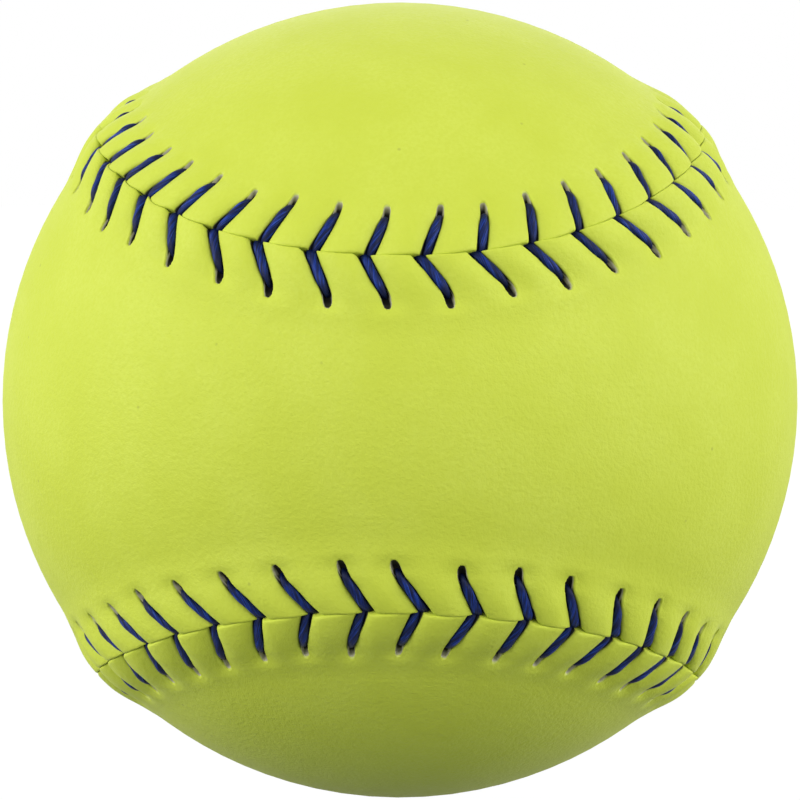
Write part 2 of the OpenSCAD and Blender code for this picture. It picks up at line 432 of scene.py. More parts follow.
# A slot's outer end: length of its rounded tip, length of its slope, share of backing shown
SLOT_END = {PANEL_A: (1.3 * MM, 0.3 * MM, 0.12), PANEL_B: (1.1 * MM, 0.65 * MM, 0.8)}
# A slot's walls, how far they start within its width, where it closes at its inner end,
# and its floor above the channel
SLOT_WALL = 0.15 * MM
SLOT_INSET = 0.08 * MM
SLOT_CLOSE = (-0.4 * MM, 0.5 * MM)
SLOT_FLOOR = 0.08 * MM
# The raised lip round a slot's outer end, with the margin by which it is wider
LIP_H = 0.07 * MM
LIP_MARGIN = 0.06 * MM
LIP_WALL = 0.3 * MM
LIP_START_IN = (-0.3 * MM, 0.5 * MM)
LIP_END_IN = (1.2 * MM, 0.8 * MM)
# The backing shows at the slot's outer end, and on its cut sides, aside from its middle
BACK_IN = (0.3 * MM, 0.7 * MM)
CUT_SIDE = (0.3 * MM, 0.1 * MM)
CUT_SIDE_IN = (1.2 * MM, 0.6 * MM)
# What the band's masks say of a vertex: down in a slot, at a slot's outer end, in a bed
MASKS = ("sunk", "slot_back", "bedded")


class PanelGrid:
    """Works out the outer surface of a panel's stitched band."""

    def __init__(self, stitches, side):
        self.stitches, self.side = stitches, side
        self.seam, self.cover = stitches.seam, stitches.cover
        pitch = self.seam.pitch
        place = np.concatenate([COLUMN_AT, [pitch / 2], pitch - COLUMN_AT[:0:-1]])
        # Each column has its stitch and its place from that stitch's leg. In the second
        # half of a stitch's columns, the next leg is the nearer one.
        column = np.arange(STITCHES * COLUMNS)
        self.stitch, self.place = column // COLUMNS, place[column % COLUMNS]
        self.second = column % COLUMNS > COLUMNS // 2

    def along(self, d):
        """Place of each column along the seam, in stitches, at distances d."""
        legs = self.stitches.leg
        share = rise(self.place / self.seam.pitch, *COLUMN_RUN)
        shift = (legs(self.stitch, d, self.side) * (1 - share)
                 + legs(self.stitch + 1, d, self.side) * share)
        return self.stitch + APEX_AT + (self.place + shift) / self.seam.pitch

    def swollen(self, d):
        """Radius of the leather between the stitches."""
        st = self.stitches
        between = np.sin(np.pi * self.place / self.seam.pitch) ** PUFF_POWER
        pillow = st.pillow[self.stitch] * between
        swell = self.cover.puff * (pillow - PUFF_BASE) * fall(d, *PUFF_RUN)
        return self.seam.ball_r + st.welt(d) + swell

    def dips(self, d, q, inward):
        """Shares of the soft dip and of the bed, q aside from a leg's middle."""
        near_seam = fall(d, *STEEP_RUN)
        spread = np.where(q < 0, SOFT_W - SOFT_STEEPER * near_seam, SOFT_W)
        soft = np.exp(-((q / spread) ** 2)) * fall(-inward, *SOFT_OUT)
        bed = wall(q, BED_HALF - BED_NARROWER * rise(-inward, *BED_NARROW_OUT), BED_WALL)
        return soft, bed * fall(-inward, *BED_OUT)

    def slot(self, q, inward):
        """Shares of the slot, of its lip and of the backing that shows in it."""
        tip_l, ramp_l, shown = SLOT_END[self.side]
        tip = np.clip(1 - inward / tip_l, 0, 1)
        half = self.cover.slot_w / 2 * np.sqrt(1 - tip * tip)
        hole = wall(q, half - SLOT_INSET, SLOT_WALL) * rise(inward, 0, ramp_l)
        hole *= fall(inward - self.cover.slot_l, *SLOT_CLOSE)
        lip = wall(q, half + LIP_MARGIN, LIP_WALL) * rise(inward, *LIP_START_IN)
        lip *= fall(inward, *LIP_END_IN)
        cut_side = rise(q if self.side == PANEL_A else np.abs(q), *CUT_SIDE)
        back = np.maximum(shown * fall(inward, *BACK_IN),
                          cut_side * fall(inward, *CUT_SIDE_IN))
        return hole, lip, back

    def surface(self, v):
        """(t, d, r) of one row, v from the panel's edge, and its masks."""
        st, cover, side = self.stitches, self.cover, self.side
        t = self.along(np.full(self.place.shape, v))
        edge = side * st.edge(t) + st.opening(t, side)
        d = v + edge * fall(v, *EDGE_RUN)
        i = np.mod(self.stitch + self.second, STITCHES)
        q = np.where(self.second, self.place - self.seam.pitch, self.place)
        q *= st.slant(side)[i]
        inward = st.reach[side][i] - d
        soft, bed = self.dips(d, q, inward)
        r = self.swollen(d) - st.bed_depth(d) * (SOFT_SHARE * soft + (1 - SOFT_SHARE) * bed)
        r -= cover.roll_h * (1 - np.sqrt(1 - np.clip(1 - v / cover.roll_w, 0, 1) ** 2))
        hole, lip, back = self.slot(q, inward)
        r += LIP_H * lip
        floor = self.channel_r() + SLOT_FLOOR
        return t, d, r * (1 - hole) + floor * hole, hole, back, bed

    def rows(self):
        """Points of all the rows, from the foot of the edge to the foot of the welt."""
        found = [self.surface(v) for v in ROW_AT]
        t, d, top, *masks = found[0]
        low = self.channel_r()
        rows = [(t, d, low + (top - low) * share, *masks) for share in WALL_AT] + found
        points = [self.seam.on_ball(t, self.side * d, r) for t, d, r, *_ in rows]
        masks = zip(*(masks for _, _, _, *masks in rows))
        return np.stack(points), {key: np.stack(mask) for key, mask in zip(MASKS, masks)}

    def channel_r(self):
        """Radius of the roof of the lacing's channel."""
        return self.seam.ball_r - self.cover.cover_t + self.cover.channel_h

    def ring(self, d, r):
        """Points of every fourth column only."""
        t = self.along(np.full(self.place.shape, d))[::COARSE]
        return self.seam.on_ball(t, self.side * np.full(t.shape, d), np.full(t.shape, r))


def ring_quads(a, b):
    """Quads between two rings of vertex numbers of the same count."""
    return np.stack([a, b, np.roll(b, -1), np.roll(a, -1)], axis=1)


def ring_fans(fine, coarse):
    """Triangles from a fine ring to a ring of every fourth column."""
    f = [np.roll(fine, -k)[::COARSE] for k in range(COARSE + 1)]
    c, n = coarse, np.roll(coarse, -1)
    return np.concatenate([np.stack(tri, axis=1) for tri in (
        (c, f[1], f[0]), (c, f[2], f[1]), (c, n, f[2]), (n, f[3], f[2]), (n, f[4], f[3]))])


def ladder(ring, start, points, radius, first):
    """Fills a ring with rungs between mirrored points. Returns new points and faces."""
    count = len(ring)
    half = count // 2
    steps = np.arange(1, RUNG_STEPS) / RUNG_STEPS
    new, rungs = [], [np.full(RUNG_STEPS + 1, ring[start])]
    for j in range(1, half):
        a, b = ring[(start + j) % count], ring[(start - j) % count]
        line = points[a] + (points[b] - points[a]) * steps[:, None]
        new.append(unit(line) * radius)
        ids = first + (j - 1) * (RUNG_STEPS - 1) + np.arange(RUNG_STEPS - 1)
        rungs.append(np.concatenate([[a], ids, [b]]))
    rungs.append(np.full(RUNG_STEPS + 1, ring[(start + half) % count]))
    faces = []
    for a, b in zip(rungs, rungs[1:]):
        for k in range(RUNG_STEPS):
            face = [a[k], a[k + 1], b[k + 1], b[k]]
            faces.append([v for n, v in enumerate(face) if v not in face[:n]])
    return np.concatenate(new), faces


def panel_mesh(stitches, side, name):
    """A whole cover panel: the stitched band, the plain middle and the underside."""
    grid = PanelGrid(stitches, side)
    rows, masks = grid.rows()
    count = rows.shape[1]
    points = [rows.reshape(-1, 3)]
    size = rows.shape[0] * count
    fine = [np.arange(k * count, (k + 1) * count) for k in range(rows.shape[0])]
    faces = [ring_quads(a, b).tolist() for a, b in zip(fine, fine[1:])]

    inner_r = grid.seam.ball_r - grid.cover.cover_t
    rings = [grid.ring(FOOT_D, grid.seam.ball_r)]
    rings += [grid.ring(d, grid.channel_r() if deep else inner_r) for d, deep in UNDER_AT]
    rings += [grid.ring(FOOT_D, inner_r)]
    ids = [size + k * len(rings[0]) + np.arange(len(rings[0])) for k in range(len(rings))]
    size += len(rings) * len(rings[0])
    points += rings
    outer, under = ids[0], ids[1:]
    faces.append(ring_fans(fine[-1], outer).tolist())
    faces.append(ring_fans(fine[0], under[0])[:, ::-1].tolist())
    faces += [ring_quads(b, a).tolist() for a, b in zip(under, under[1:])]

    # Rungs fill both rings between mirrored points, counted from the tip of a lobe
    tip = -side * STITCHES_PER_LOBE // 2
    start = (tip - 1) % STITCHES * (COLUMNS // COARSE)
    for ring, radius, flip in ((outer, grid.seam.ball_r, False), (under[-1], inner_r, True)):
        new, more = ladder(ring, start, np.concatenate(points), radius, size)
        size += len(new)
        points.append(new)
        faces.append([f[::-1] if flip else f for f in more])
    if side == PANEL_B:
        faces = [[f[::-1] for f in group] for group in faces]

    mesh = bpy.data.meshes.new(name)
    mesh.from_pydata(np.concatenate(points).tolist(), [], [f for g in faces for f in g])
    for key, mask in masks.items():
        store(mesh, key, np.append(mask, np.zeros(size - mask.size)))
    mesh.shade_smooth()
    mesh.validate()
    return mesh


# ---------------- lacing

# One stitch from its slot to the seam, as (share of the way to the slot's riser,
# height of the lacing's middle over its place in the bed in mm, width, thickness)
LEG_PATH = (
    (1.02, -1.45, 0.6, 0.95), (1.02, -0.95, 0.6, 0.95), (1.0, -0.55, 0.64, 0.95),
    (0.95, -0.28, 0.72, 0.95), (0.87, -0.1, 0.84, 0.95), (0.77, 0.02, 0.94, 0.98),
    (0.65, 0.06, 0.99, 1.0), (0.53, 0.06, 1.0, 1.0), (0.41, 0.05, 0.99, 1.0),
    (0.31, 0.04, 0.96, 1.0), (0.22, 0.03, 0.92, 0.98), (0.13, -0.02, 0.87, 0.95),
    (0.06, -0.12, 0.82, 0.92), (0.0, -0.32, 0.78, 0.92), (-0.035, -0.6, 0.74, 0.92),
    (-0.05, -0.95, 0.7, 0.92),
)
# Distance from a slot's far end back to the riser in it
RISER_BACK = 1.8 * MM
# Below, a pair is a share of that way at which a smooth step starts, and the share it takes
# Height that a leg stands out of its bed between its head and its slot
LEG_LIFT = {PANEL_A: 0.18 * MM, PANEL_B: 0.06 * MM}
LIFT_START = (0, 0.15)
LIFT_END = (0.5, 0.45)
# Share that a head is wider by: panel A's lie wide across the seam, and panel B's don't
HEAD_GAIN = {PANEL_A: 0.34, PANEL_B: 0.02}
# Share that a head is flatter by, and its tilt towards the inside of the chevron
HEAD_FLAT = 0.22
HEAD_RUN = (0, 0.4)
HEAD_TILT = 0.6
TILT_RUN = (0, 0.55)
# The lacing has painted shade where it goes down at the seam and into its slot
DARK_HEAD = (-0.02, 0.32)
DARK_SLOT = (0.72, 0.2)
# Shares of the way at which the lacing is held while it crosses below the other panel
CROSSING_AT = (0.0, 0.25, 0.5, 0.75)
# Place along the seam and radius at which it goes under, with its width, thickness and
# shade there
LOW_SPLIT = 0.99 * MM
LOW_R = 47.35 * MM
LOW_SECTION = (0.7, 0.9, 1.0)
# Share of a length at which each corner of the path is cut
CUT_AT = 0.25


def lacing_side(i, run):
    """The panel that a run's leg lies on at stitch i: the runs take turns."""
    return PANEL_A if (i + run) % 2 == 0 else PANEL_B


def stitch_keys(stitches, lacing, i, run):
    """(t, signed d, r, width, thickness, shade) at a stitch's key points, and their tilts."""
    seam, side = stitches.seam, lacing_side(i, run)
    share, height, wide, thick = np.array(LEG_PATH).T
    d = (stitches.reach[side][i] - RISER_BACK) * share
    t = i + APEX_AT + stitches.leg(i, d, side) / seam.pitch
    bed = seam.ball_r + stitches.welt(d) - stitches.bed_depth(d) + lacing.thickness / 2
    lift = LEG_LIFT[side] * rise(share, *LIFT_START) * fall(share, *LIFT_END)
    r = np.maximum(bed + height * MM + lift, LOW_R)
    head = fall(share, *HEAD_RUN)
    wide = wide * stitches.wide[side][i] * (1 + HEAD_GAIN[side] * head)
    thick = thick * (1 - HEAD_FLAT * head)
    shade = np.maximum(fall(share, *DARK_HEAD), rise(share, *DARK_SLOT))
    tilt = HEAD_TILT * fall(share, *TILT_RUN)
    return np.stack([t, side * d, r, wide, thick, shade], axis=1), tilt


def lacing_path(stitches, lacing, run):
    """Vertices along one run, with the directions and sizes of its section."""
    seam = stitches.seam
    keys, across = [], []
    # The run is laid backwards round the ball, from the last stitch to the first
    for i in range(STITCHES, 0, -1):
        leg, tilt = stitch_keys(stitches, lacing, i % STITCHES, run)
        leg[:, 0] += i - i % STITCHES
        after = stitch_keys(stitches, lacing, i - 1, run)[0][0]
        side = lacing_side(i, run)
        low = np.array([i + APEX_AT - side * LOW_SPLIT / seam.pitch, 0, LOW_R, *LOW_SECTION])
        keys += [*leg, *(low + (after - low) * share for share in CROSSING_AT)]
        body = seam.on_ball(*leg[:, :3].T)
        flat = -side * unit(np.cross(body[0], body[-1] - body[0]))
        across += [*(flat - tilt[:, None] * unit(body))]
        across += [np.full(3, np.nan)] * len(CROSSING_AT)
    keys, across, place = np.array(keys), np.array(across), np.arange(len(keys))
    # A crossing turns evenly from one stitch's direction to the next one's
    held = ~np.isnan(across[:, 0])
    for channel in range(3):
        across[:, channel] = np.interp(
            place, place[held], across[held, channel], period=len(keys))

    # Each corner is cut on both its sides, with the count carried round the ball
    data = np.concatenate([keys, across], axis=1)
    round_once = np.zeros(data.shape[1])
    round_once[0] = -STITCHES
    following = np.concatenate([data[1:], data[:1] + round_once])
    cut = np.stack([(1 - share) * data + share * following
                    for share in (CUT_AT, 1 - CUT_AT)], axis=1)
    data = cut.reshape(-1, data.shape[1])

    t, d, r, wide, thick, shade = data[:, :-3].T
    points, side = seam.on_ball(t, d, r), data[:, -3:]
    ahead = unit(np.roll(points, -1, axis=0) - np.roll(points, 1, axis=0))
    side = unit(side - np.sum(side * ahead, axis=1)[:, None] * ahead)
    step = np.linalg.norm(points - np.roll(points, 1, axis=0), axis=1)
    length = np.cumsum(step) - step[0]
    turns = round(step.sum() / lacing.turn_l)
    turn = length / step.sum() * turns * 2 * math.pi
    return points, {
        "side_way": side, "up_way": np.cross(ahead, side), "turn": turn,
        "run_l": length, "wide": wide, "thick": thick, "shade": shade,
    }


def guide_object(name, points, values):
    """A closed line of vertices that carries the section's directions and sizes."""
    count = len(points)
    mesh = bpy.data.meshes.new(name)
    mesh.from_pydata(points.tolist(), [(k, (k + 1) % count) for k in range(count)], [])
    for key, value in values.items():
        store(mesh, key, value)
    return new_object(name, mesh)


class NodeMaker:
    """Adds and links nodes of one tree."""

    def __init__(self, tree):
        self.tree = tree

    def put(self, value, socket):
        """Links a socket to another one, or sets its value. None leaves it as it is."""
        if isinstance(value, bpy.types.NodeSocket):
            self.tree.links.new(value, socket)
        elif value is not None:
            socket.default_value = value

    def add(self, kind, *inputs, **settings):
        """A node whose inputs are given in order: values, sockets or None."""
        node = self.tree.nodes.new(kind)
        for key, value in settings.items():
            setattr(node, key, value)
        for socket, value in zip([s for s in node.inputs if s.enabled], inputs):
            self.put(value, socket)
        return node

    def out(self, kind, *inputs, **settings):
        """The first output of such a node."""
        node = self.add(kind, *inputs, **settings)
        return next(s for s in node.outputs if s.enabled)

    def math(self, operation, *inputs):
        return self.out("ShaderNodeMath", *inputs, operation=operation)

    def vector(self, operation, *inputs):
        return self.out("ShaderNodeVectorMath", *inputs, operation=operation)

    def scaled(self, vector, factor):
        """A vector times a number."""
        node = self.add("ShaderNodeVectorMath", vector, operation="SCALE")
        self.put(factor, node.inputs["Scale"])
        return node.outputs[0]


def lacing_tree(material):
    """Sweeps a twisted section of plies along a guide line."""
    tree = bpy.data.node_groups.new("twisted_lacing", "GeometryNodeTree")
    face = tree.interface
    face.new_socket("Geometry", in_out="INPUT", socket_type="NodeSocketGeometry")
    for name, kind in (("Width", "Float"), ("Thickness", "Float"), ("Ply groove", "Float"),
                       ("Plies", "Int"), ("Section points", "Int")):
        face.new_socket(name, in_out="INPUT", socket_type="NodeSocket" + kind)
    face.new_socket("Geometry", in_out="OUTPUT", socket_type="NodeSocketGeometry")
    make = NodeMaker(tree)
    given = make.add("NodeGroupInput").outputs

    def named(name, kind="FLOAT"):
        return make.out("GeometryNodeInputNamedAttribute", name, data_type=kind)

    def stored(geometry, name, value, kind="FLOAT"):
        return make.out("GeometryNodeStoreNamedAttribute", geometry, None, name, value,
                        data_type=kind, domain="POINT")

    index = make.out("GeometryNodeInputIndex")
    around = make.math("DIVIDE", make.math("MULTIPLY", index, 2 * math.pi),
                       given["Section points"])
    ring = make.out("GeometryNodeCurvePrimitiveCircle", given["Section points"])
    ring = stored(ring, "angle", around)
    line = make.out("GeometryNodeMeshToCurve", given["Geometry"])
    line = stored(line, "middle", make.out("GeometryNodeInputPosition"), "FLOAT_VECTOR")
    tube = make.out("GeometryNodeCurveToMesh", line, ring)

    angle = named("angle")
    lay = make.math("SUBTRACT", angle, named("turn"))
    ridge = make.math("COSINE", make.math("MULTIPLY", lay, given["Plies"]))
    groove = make.math("MULTIPLY", make.math("SUBTRACT", 1.0, ridge), 0.5)
    swell = make.math("SUBTRACT", 1.0, make.math("MULTIPLY", groove, given["Ply groove"]))
    offset = []
    for turned, size, share, way in (("COSINE", "Width", "wide", "side_way"),
                                     ("SINE", "Thickness", "thick", "up_way")):
        half = make.math("MULTIPLY", make.math("MULTIPLY", given[size], 0.5), named(share))
        reach = make.math("MULTIPLY", make.math(turned, angle), half)
        offset.append(make.scaled(named(way, "FLOAT_VECTOR"),
                                  make.math("MULTIPLY", reach, swell)))
    place = make.vector("ADD", named("middle", "FLOAT_VECTOR"),
                        make.vector("ADD", *offset))
    tube = make.out("GeometryNodeSetPosition", tube, None, place)
    fibre = make.out("ShaderNodeCombineXYZ", make.math("COSINE", lay),
                     make.math("SINE", lay), make.math("DIVIDE", named("run_l"), MM))
    tube = stored(tube, "fibre", fibre, "FLOAT_VECTOR")
    tube = stored(tube, "groove", groove)
    tube = make.out("GeometryNodeSetShadeSmooth", tube)
    tube = make.out("GeometryNodeRealizeInstances", tube)
    tube = make.out("GeometryNodeSetMaterial", tube, None, material)
    make.add("NodeGroupOutput", tube)
    return tree


def swept(guide, tree, values, name):
    """Runs the tree on the guide, and keeps its result as a plain mesh."""
    modifier = guide.modifiers.new("sweep", "NODES")
    modifier.node_group = tree
    for item in tree.interface.items_tree:
        if item.in_out == "INPUT" and item.name in values:
            modifier[item.identifier] = values[item.name]
    graph = bpy.context.evaluated_depsgraph_get()
    mesh = bpy.data.meshes.new_from_object(guide.evaluated_get(graph), depsgraph=graph)
    mesh.name = name
    guide.modifiers.remove(modifier)
    old = guide.data
    bpy.data.objects.remove(guide)
    bpy.data.meshes.remove(old)
    for key in ("side_way", "up_way", "turn", "run_l", "wide", "thick", "angle", "middle"):
        if key in mesh.attributes:
            mesh.attributes.remove(mesh.attributes[key])
    return mesh


# ---------------- finishes


class Finish(NodeMaker):
    """A material with one Principled shader, whose constants sit on its own sockets.

    Its place is in millimetres, so the scale of a noise or of cells is per millimetre.
    """

    def __init__(self, name, **settings):
        self.material = bpy.data.materials.new(name)
        self.material.use_nodes = True
        super().__init__(self.material.node_tree)
        self.shader = next(n for n in self.tree.nodes if n.type == "BSDF_PRINCIPLED")
        for key, value in settings.items():
            self.shader.inputs[key.replace("_", " ")].default_value = value
        place = self.add("ShaderNodeTexCoord").outputs["Object"]
        self.place = self.scaled(place, 1 / MM)

    def noise(self, place, scale, detail=2.0, roughness=0.5):
        return self.out("ShaderNodeTexNoise", place, scale, detail, roughness)

    def cells(self, place, scale, feature="F1"):
        """Distance to the middle of the nearest cell."""
        return self.out("ShaderNodeTexVoronoi", place, scale, feature=feature)

    def span(self, value, low, high, to_low=0.0, to_high=1.0):
        """Maps low..high to to_low..to_high, and clamps."""
        return self.out("ShaderNodeMapRange", value, low, high, to_low, to_high,
                        interpolation_type="SMOOTHSTEP")

    def mix(self, share, a, b):
        """Mixes two colours, each a socket or three numbers."""
        a, b = (c if isinstance(c, bpy.types.NodeSocket) else (*c, 1) for c in (a, b))
        return self.out("ShaderNodeMix", share, a, b, data_type="RGBA")

    def attribute(self, name, socket="Fac"):
        return self.add("ShaderNodeAttribute", attribute_name=name).outputs[socket]

    def bump(self, height, distance, normal=None):
        """Raises the surface by height times distance."""
        node = self.add("ShaderNodeBump")
        for key, value in (("Distance", distance), ("Height", height), ("Normal", normal)):
            self.put(value, node.inputs[key])
        return node.outputs["Normal"]

    def wear(self, colour, roughness, normal):
        """Links the finished colour, roughness and normal, and returns the material."""
        for key, value in (("Base Color", colour), ("Roughness", roughness),
                           ("Normal", normal)):
            self.put(value, self.shader.inputs[key])
        return self.material


# Colours of the leather's dark specks, of the painted highlight on its slots' lips, of the
# painted shade along the walls of the beds and of the painted shade in the slots inside
SPECK_COLOUR = (0.2, 0.22, 0.05)
LIP_HIGHLIGHT_COLOUR = (0.8, 0.8, 0.6)
BED_SHADE_COLOUR = (0.012, 0.014, 0.012)
SLOT_SHADE_COLOUR = (0.005, 0.0045, 0.004)


def leather(cover):
    """Optic-yellow composite leather: fine grain, faint mottling and small dark specks, with
    painted shade in its beds and slots and a painted highlight on its slots' lips.
    """
    f = Finish("optic_yellow_leather", Specular_IOR_Level=0.25, Sheen_Weight=0.04,
               Sheen_Roughness=0.5)
    yellow = tuple(cover.leather_colour)
    pale = tuple(c + (1 - c) * 0.02 for c in yellow)
    deep = tuple(c * 0.95 for c in yellow)
    cloud = f.noise(f.place, 0.09, 3.0, 0.55)
    colour = f.mix(f.span(cloud, 0.3, 0.7), deep, pale)
    fine = f.noise(f.place, 2.2, 3.0, 0.6)
    colour = f.mix(f.span(fine, 0.35, 0.65, 0.0, 0.55), colour, deep)
    speck = f.span(f.cells(f.place, 0.16), 0.015, 0.045, 1.0, 0.0)
    colour = f.mix(f.math("MULTIPLY", speck, 0.3), colour, SPECK_COLOUR)

    sunk = f.attribute("sunk")
    # Painted highlight: pale patches on the slots' rims, where the leather's edge would catch
    # the light
    rim_glint = f.span(f.noise(f.place, 0.7), 0.45, 0.6, 0.0, 0.24)
    lip = f.math("MULTIPLY", f.span(sunk, 0.02, 0.12), rim_glint)
    colour = f.mix(lip, colour, LIP_HIGHLIGHT_COLOUR)
    # A stitch's bed has painted shade along its walls, and the slots inside are painted
    # near-black as shade, with the grey backing in sight at their outer ends
    colour = f.mix(f.span(f.attribute("bedded"), 0.1, 0.45), colour, BED_SHADE_COLOUR)
    inside = f.span(sunk, 0.4, 0.65)
    backing = tuple(cover.backing_colour)
    # Inside a slot: painted near-black shade of the hole, with the grey backing at its outer
    # end
    cut = f.mix(f.attribute("slot_back"), SLOT_SHADE_COLOUR, backing)
    colour = f.mix(f.span(sunk, 0.2, 0.35), colour, backing)
    colour = f.mix(inside, colour, cut)

    grain = f.cells(f.place, 2.1, feature="SMOOTH_F1")
    skin = f.math("ADD", grain, f.noise(f.place, 5.5, 2.0))
    normal = f.bump(skin, 0.045 * MM)
    normal = f.bump(f.noise(f.place, 0.5, 2.0), 0.05 * MM, normal)
    rough = f.math("MAXIMUM", f.span(fine, 0.2, 0.8, 0.56, 0.68), inside)
    return f.wear(colour, rough, normal)


def thread(lacing):
    """Waxed royal-blue fibres that lie along the twist of the plies."""
    f = Finish("waxed_blue_lacing", Specular_IOR_Level=0.15)
    long_way = f.vector("MULTIPLY", f.attribute("fibre", "Vector"), (1.0, 1.0, 0.09))
    strands = f.noise(long_way, 4.6, 3.0, 0.6)
    groove, shade = f.attribute("groove"), f.attribute("shade")
    lit, dark = tuple(lacing.lit_colour), tuple(lacing.dark_colour)
    # The fibres' streaks mix the lit and the shaded copy of the blue: painted light and shade
    colour = f.mix(f.span(strands, 0.38, 0.62), dark, lit)
    # Painted shade in the grooves between the plies and at a stitch's ends; darker at random
    # in blotches and along whole stitches
    for share in (f.span(groove, 0.5, 1.0, 0.0, 0.7),
                  f.span(f.noise(f.place, 0.55, 2.0), 0.35, 0.7, 0.0, 0.25),
                  f.span(f.noise(f.place, 0.13, 1.0), 0.42, 0.6, 0.0, 0.45),
                  f.span(shade, 0.0, 1.0, 0.0, 0.85)):
        colour = f.mix(share, colour, dark)
    # Painted highlight on the lit fibres, which fades where the lacing has painted shade
    fibre_highlight = tuple(min(1.0, c * 1.6 + 0.03) for c in lit)
    highlight_share = f.math("MULTIPLY", f.span(strands, 0.57, 0.7, 0.0, 0.6),
                   f.span(shade, 0.1, 0.7, 1.0, 0.0))
    colour = f.mix(highlight_share, colour, fibre_highlight)
    return f.wear(colour, f.span(strands, 0.3, 0.7, 0.5, 0.36), f.bump(strands, 0.06 * MM))


def core_foam():
    """Cast foam of the core: matte, with a fine cell structure."""
    f = Finish("cast_core_foam")
    cells = f.cells(f.place, 0.9)
    colour = f.mix(f.span(f.noise(f.place, 0.2), 0.3, 0.7), (0.85, 0.8, 0.64),
                   (0.93, 0.89, 0.77))
    return f.wear(colour, f.span(cells, 0.0, 0.6, 0.85, 0.7), f.bump(cells, 0.08 * MM))


def cement_skin():
    """Brushed latex cement over the core: dull amber, with the brush's streaks."""
    f = Finish("brushed_cement")
    streaks = f.noise(f.vector("MULTIPLY", f.place, (0.15, 0.6, 0.6)), 1.2, 3.0)
    colour = f.mix(f.span(streaks, 0.3, 0.7), (0.55, 0.37, 0.12), (0.7, 0.52, 0.22))
    return f.wear(colour, f.span(streaks, 0.3, 0.7, 0.42, 0.6), f.bump(streaks, 0.1 * MM))


# ---------------- pieces and stage


def settings():
    """The sizes and colours of the open scene."""
    scene = bpy.context.scene
    return scene.ball_seam, scene.ball_cover, scene.ball_lacing, scene.ball_stage


def all_stitches():
    """The stitches that the open scene's sizes ask for."""
    seam, cover, lacing, _ = settings()
    return Stitches(SeamLine(seam), cover, lacing)


def add_piece(name, mesh, node):
    """Shows a mesh in place of a CAD node, riding on the ball."""
    piece = new_object(name, mesh)
    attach(piece, BODY)
    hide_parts(node)


def finish_node(node, material):
    """Gives a CAD node its finish."""
    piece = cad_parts[node]
    piece.data.materials.clear()
    piece.data.materials.append(material)


class BALL_OT_covers(bpy.types.Operator):
    """Make the two cover panels, with their welts, stitch beds and slots"""

    bl_idname = "ball.covers"
    bl_label = "Cover panels"

    def execute(self, context):
        stitches = all_stitches()
        material = leather(stitches.cover)
        for side, letter in zip(SIDES, "ab"):
            name = "stitched_panel_" + letter
            mesh = panel_mesh(stitches, side, name)
            mesh.materials.append(material)
            add_piece(name, mesh, "cover_panel_" + letter)
        return {"FINISHED"}


class BALL_OT_lacing(bpy.types.Operator):
    """Sew the panels together with two runs of twisted lacing"""

    bl_idname = "ball.lacing"
    bl_label = "Lacing"

    def execute(self, context):
        stitches, lacing = all_stitches(), settings()[2]
        tree = lacing_tree(thread(lacing))
        values = {"Width": lacing.width, "Thickness": lacing.thickness,
                  "Ply groove": lacing.ply_depth, "Plies": lacing.plies,
                  "Section points": lacing.sides}
        for run, word in enumerate(("one", "two")):
            name = "twisted_lacing_" + word
            guide = guide_object(name, *lacing_path(stitches, lacing, run))
            mesh = swept(guide, tree, values, name)
            add_piece(name, mesh, "lacing_run_" + word)
        return {"FINISHED"}


class BALL_OT_inside(bpy.types.Operator):
    """Finish the core and its coat of cement, which stay as the CAD made them"""

    bl_idname = "ball.inside"
    bl_label = "Core and cement"

    def execute(self, context):
        finish_node("core", core_foam())
        finish_node("cement_coat", cement_skin())
        return {"FINISHED"}


WHITE = (1, 1, 1, 1)
# Strength of the floor's glow, and its share over the lit floor, which has the shadow
FLOOR_GLOW = 1.11
FLOOR_GLOW_SHARE = 0.9


def seen_directly(make):
    """1 for the rays that show the background: the camera's, and mirrored or bent ones."""
    path = make.add("ShaderNodeLightPath").outputs
    return make.math("MAXIMUM", path["Is Camera Ray"],
                     make.math("MAXIMUM", path["Is Glossy Ray"], path["Is Transmission Ray"]))


def floor_finish():
    """Pale floor that the camera sees as white, with a trace of the ball's shadow."""
    f = Finish("pale_floor", Base_Color=(0.115, 0.14, 0.115, 1), Roughness=0.9)
    glow = f.out("ShaderNodeEmission", WHITE, FLOOR_GLOW)
    share = f.math("MULTIPLY", seen_directly(f), FLOOR_GLOW_SHARE)
    both = f.out("ShaderNodeMixShader", share, f.shader.outputs[0], glow)
    output = next(n for n in f.tree.nodes if n.type == "OUTPUT_MATERIAL")
    f.put(both, output.inputs["Surface"])
    return f.material


def surroundings(stage):
    """Even studio walls, which the camera sees as white."""
    world = bpy.context.scene.world or bpy.data.worlds.new("studio")
    bpy.context.scene.world = world
    world.use_nodes = True
    make = NodeMaker(world.node_tree)
    world.node_tree.nodes.clear()
    lit = make.out("ShaderNodeBackground", WHITE, stage.sky_level)
    white = make.out("ShaderNodeBackground", WHITE, 1.0)
    both = make.out("ShaderNodeMixShader", seen_directly(make), lit, white)
    make.add("ShaderNodeOutputWorld", both)


# The photograph's view: small turns of the ball before the camera, in degrees
VIEW_TURN = {"X": 4.83, "Y": 0.38, "Z": -0.79}
# Width of the camera's sensor in millimetres, and its nearest and farthest sight in metres
SENSOR_W = 36
CLIP = (0.01, 20)


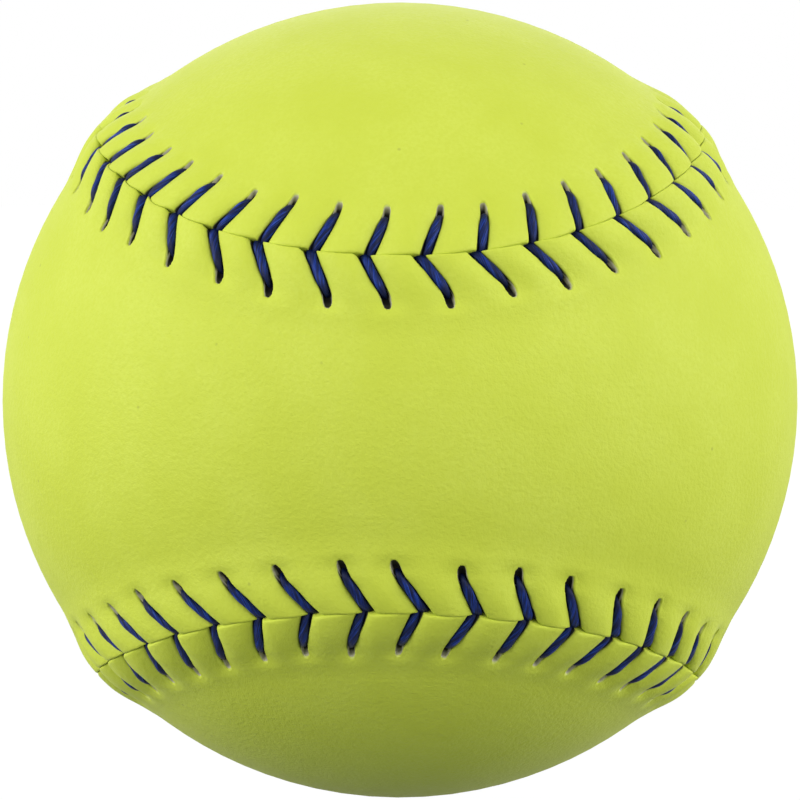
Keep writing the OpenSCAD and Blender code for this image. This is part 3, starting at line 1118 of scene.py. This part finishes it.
def add_camera(stage):
    """The camera, which looks at the ball's centre from the photograph's angle."""
    about_x, about_y, about_z = (Matrix.Rotation(math.radians(angle), 3, axis)
                                 for axis, angle in VIEW_TURN.items())
    turn = (about_z @ about_y @ about_x).transposed()
    back = turn @ Vector((0, -1, 0))
    up = turn @ Vector((0, 0, 1))
    data = bpy.data.cameras.new("camera")
    data.lens, data.sensor_width = stage.lens, SENSOR_W
    data.clip_start, data.clip_end = CLIP
    camera = new_object("camera", data)
    camera.location = back * stage.camera_distance
    across = up.cross(back)
    camera.matrix_world = Matrix.Translation(camera.location) @ Matrix(
        (across, back.cross(across), back)).transposed().to_4x4()
    bpy.context.scene.camera = camera


# Soft boxes round the ball: place, side, and power as a share of the strongest
SOFT_BOXES = {
    "left_box": ((-0.95, -0.15, 0.3), 0.8, 0.88),
    "right_box": ((0.95, -0.15, 0.3), 0.8, 1.0),
    "back_box": ((0, 0.95, 0.6), 0.9, 0.5),
    "front_left_box": ((-0.75, -0.75, 0.35), 0.6, 0.88),
    "front_right_box": ((0.75, -0.75, 0.35), 0.6, 0.6),
}


def add_soft_box(name, place, size, power):
    """A square lamp that faces the ball and stays out of the picture."""
    data = bpy.data.lights.new(name, "AREA")
    data.shape, data.size, data.energy = "SQUARE", size, power
    lamp = new_object(name, data)
    lamp.location = place
    lamp.rotation_euler = Vector(place).to_track_quat("Z", "Y").to_euler()
    lamp.visible_camera = False


class BALL_OT_stage(bpy.types.Operator):
    """Set the floor, the surroundings, the lamps and the camera"""

    bl_idname = "ball.stage"
    bl_label = "Stage"

    def execute(self, context):
        seam, _, _, stage = settings()
        half = stage.floor_size / 2
        mesh = bpy.data.meshes.new("floor")
        mesh.from_pydata([(x * half, y * half, -seam.ball_d / 2) for x, y in
                          ((-1, -1), (1, -1), (1, 1), (-1, 1))], [], [(0, 1, 2, 3)])
        mesh.materials.append(floor_finish())
        floor = new_object("floor", mesh)
        surroundings(stage)
        for name, (place, size, share) in SOFT_BOXES.items():
            add_soft_box(name, place, size, share * stage.lamp_power)
        add_camera(stage)
        context.scene.view_settings.view_transform = "Standard"
        return {"FINISHED"}


class BALL_PT_maker(bpy.types.Panel):
    """Lists the ball's parts, their sizes and their colours"""

    bl_idname = "BALL_PT_maker"
    bl_label = "Softball"
    bl_space_type = "VIEW_3D"
    bl_region_type = "UI"
    bl_category = "Softball"

    def draw(self, context):
        for operator, groups in ((BALL_OT_covers, ("ball_seam", "ball_cover")),
                                 (BALL_OT_lacing, ("ball_lacing",)),
                                 (BALL_OT_inside, ()),
                                 (BALL_OT_stage, ("ball_stage",))):
            box = self.layout.box()
            box.operator(operator.bl_idname)
            for name in groups:
                sizes = getattr(context.scene, name)
                for key in sizes.__annotations__:
                    box.prop(sizes, key)


GROUPS = {"ball_seam": SeamSizes, "ball_cover": CoverSizes,
          "ball_lacing": LacingSizes, "ball_stage": StageSizes}
OPERATORS = (BALL_OT_covers, BALL_OT_lacing, BALL_OT_inside, BALL_OT_stage)
CLASSES = (*GROUPS.values(), *OPERATORS, BALL_PT_maker)


def register():
    for cls in CLASSES:
        bpy.utils.register_class(cls)
    for name, group in GROUPS.items():
        setattr(bpy.types.Scene, name, PointerProperty(type=group))


def unregister():
    for name in GROUPS:
        delattr(bpy.types.Scene, name)
    for cls in reversed(CLASSES):
        bpy.utils.unregister_class(cls)


def main():
    register()
    bpy.ops.ball.stage()
    bpy.ops.ball.covers()
    bpy.ops.ball.lacing()
    bpy.ops.ball.inside()


if __name__ == "__main__":
    main()
